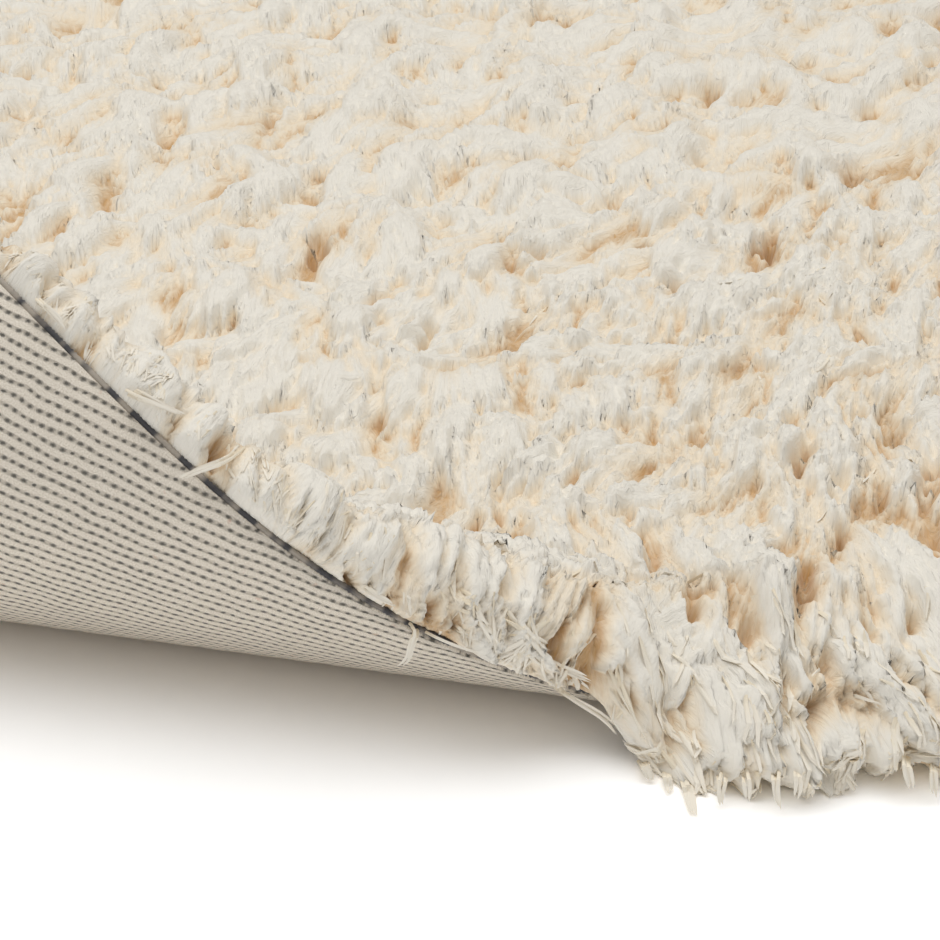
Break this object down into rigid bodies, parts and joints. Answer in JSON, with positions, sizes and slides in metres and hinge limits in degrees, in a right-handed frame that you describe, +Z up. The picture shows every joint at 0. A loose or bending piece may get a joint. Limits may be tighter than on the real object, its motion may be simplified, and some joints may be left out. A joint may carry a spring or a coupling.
{
  "type": "shag rug",
  "caption": "Small deep-pile shag rug on a woven backing with an overlocked edge, lying flat with its front left corner curled up and over.",
  "frame": {"origin": "the middle of the rug's flat underside, on the surface that it lies on", "axes": "+X to the right along the front edge, +Y to the back, +Z up out of the pile; the corner at -X, -Y is curled up"},
  "size_m": [0.82, 0.7695, 0.1664],
  "materials": {
    "backing": "cream twill-like weave with grey-brown dots, matt",
    "binding": "dark grey and pale overlock yarn, matt",
    "pile": "cream shag pile, soft and matt"
  },
  "bodies": {
    "root": {"backing": "backing", "binding": "binding", "pile": "pile"}
  },
  "joints": []
}
